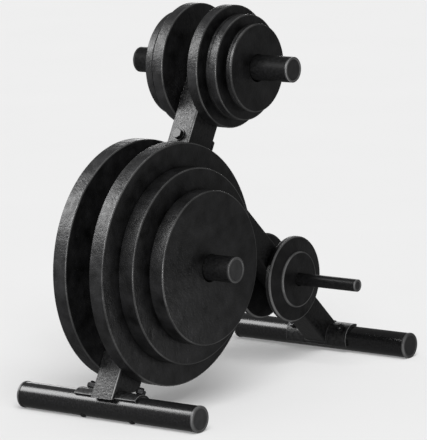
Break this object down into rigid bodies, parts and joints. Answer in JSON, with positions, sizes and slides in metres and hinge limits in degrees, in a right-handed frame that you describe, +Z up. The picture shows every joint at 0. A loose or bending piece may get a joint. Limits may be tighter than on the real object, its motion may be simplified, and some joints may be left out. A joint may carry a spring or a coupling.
{
  "type": "weight plate tree",
  "caption": "Two-legged weight plate tree: a leaning post with a strut, on two round feet, with three cross pegs that carry sliding weight plates.",
  "frame": {"origin": "on the floor, under the middle of the bounding box", "axes": "+X along the pegs and the feet, to the side with more plates; -Y to the front foot, where the post stands; +Y to the rear foot; +Z up"},
  "size_m": [0.412, 0.7772, 0.7224],
  "materials": {
    "frame_paint": "black powder coat, satin, with a fine grain",
    "end_cap_plastic": "black moulded plastic, satin",
    "bolt_steel": "zinc plated steel, a little dull",
    "bolt_paint": "blackened steel, satin",
    "plate_coating": "black coated cast iron, satin, with turned rims"
  },
  "bodies": {
    "frame": {"front_foot_tube": "frame_paint", "front_saddle": "frame_paint", "front_foot_cap_left": "end_cap_plastic", "front_foot_cap_right": "end_cap_plastic", "front_saddle_bolt_left": "bolt_steel", "front_saddle_bolt_right": "bolt_steel", "front_saddle_nut_left": "bolt_steel", "front_saddle_nut_right": "bolt_steel", "rear_foot_tube": "frame_paint", "rear_saddle": "frame_paint", "rear_foot_cap_left": "end_cap_plastic", "rear_foot_cap_right": "end_cap_plastic", "rear_saddle_bolt_left": "bolt_steel", "rear_saddle_bolt_right": "bolt_steel", "rear_saddle_nut_left": "bolt_steel", "rear_saddle_nut_right": "bolt_steel", "post_tube": "frame_paint", "strut_tube": "frame_paint", "strut_end_plate": "frame_paint", "post_top_cap": "end_cap_plastic", "strut_bolt_lower": "bolt_paint", "strut_nut_lower": "bolt_paint", "strut_washer_front_lower": "bolt_paint", "strut_washer_back_lower": "bolt_paint", "strut_bolt_upper": "bolt_paint", "strut_nut_upper": "bolt_paint", "strut_washer_front_upper": "bolt_paint", "strut_washer_back_upper": "bolt_paint", "top_peg_tube": "frame_paint", "top_peg_cap_left": "end_cap_plastic", "top_peg_cap_right": "end_cap_plastic", "middle_peg_tube": "frame_paint", "middle_peg_cap_left": "end_cap_plastic", "middle_peg_cap_right": "end_cap_plastic", "low_peg_tube": "frame_paint", "low_peg_cap_left": "end_cap_plastic", "low_peg_cap_right": "end_cap_plastic"},
    "large_plate_left": {"large_plate_left": "plate_coating"},
    "large_plate_right": {"large_plate_right": "plate_coating"},
    "broad_plate_right": {"broad_plate_right": "plate_coating"},
    "medium_plate_right": {"medium_plate_right": "plate_coating"},
    "small_plate_left": {"small_plate_left": "plate_coating"},
    "light_plate_left": {"light_plate_left": "plate_coating"},
    "small_plate_right": {"small_plate_right": "plate_coating"},
    "light_plate_right": {"light_plate_right": "plate_coating"},
    "lightest_plate_right": {"lightest_plate_right": "plate_coating"},
    "hub_plate_left": {"hub_plate_left": "plate_coating"},
    "hub_plate_right": {"hub_plate_right": "plate_coating"}
  },
  "joints": [
    {"name": "large_plate_left_slide", "type": "slide", "parent": "frame", "child": "large_plate_left", "axis": [-1, 0, 0], "range_m": [0, 0.173]},
    {"name": "large_plate_right_slide", "type": "slide", "parent": "frame", "child": "large_plate_right", "axis": [1, 0, 0], "range_m": [0, 0.173]},
    {"name": "broad_plate_right_slide", "type": "slide", "parent": "large_plate_right", "child": "broad_plate_right", "axis": [1, 0, 0], "range_m": [0, 0.14]},
    {"name": "medium_plate_right_slide", "type": "slide", "parent": "broad_plate_right", "child": "medium_plate_right", "axis": [1, 0, 0], "range_m": [0, 0.101]},
    {"name": "small_plate_left_slide", "type": "slide", "parent": "frame", "child": "small_plate_left", "axis": [-1, 0, 0], "range_m": [0, 0.152]},
    {"name": "light_plate_left_slide", "type": "slide", "parent": "small_plate_left", "child": "light_plate_left", "axis": [-1, 0, 0], "range_m": [0, 0.124]},
    {"name": "small_plate_right_slide", "type": "slide", "parent": "frame", "child": "small_plate_right", "axis": [1, 0, 0], "range_m": [0, 0.171]},
    {"name": "light_plate_right_slide", "type": "slide", "parent": "small_plate_right", "child": "light_plate_right", "axis": [1, 0, 0], "range_m": [0, 0.14]},
    {"name": "lightest_plate_right_slide", "type": "slide", "parent": "light_plate_right", "child": "lightest_plate_right", "axis": [1, 0, 0], "range_m": [0, 0.106]},
    {"name": "hub_plate_left_slide", "type": "slide", "parent": "frame", "child": "hub_plate_left", "axis": [-1, 0, 0], "range_m": [0, 0.168]},
    {"name": "hub_plate_right_slide", "type": "slide", "parent": "frame", "child": "hub_plate_right", "axis": [1, 0, 0], "range_m": [0, 0.17]}
  ]
}
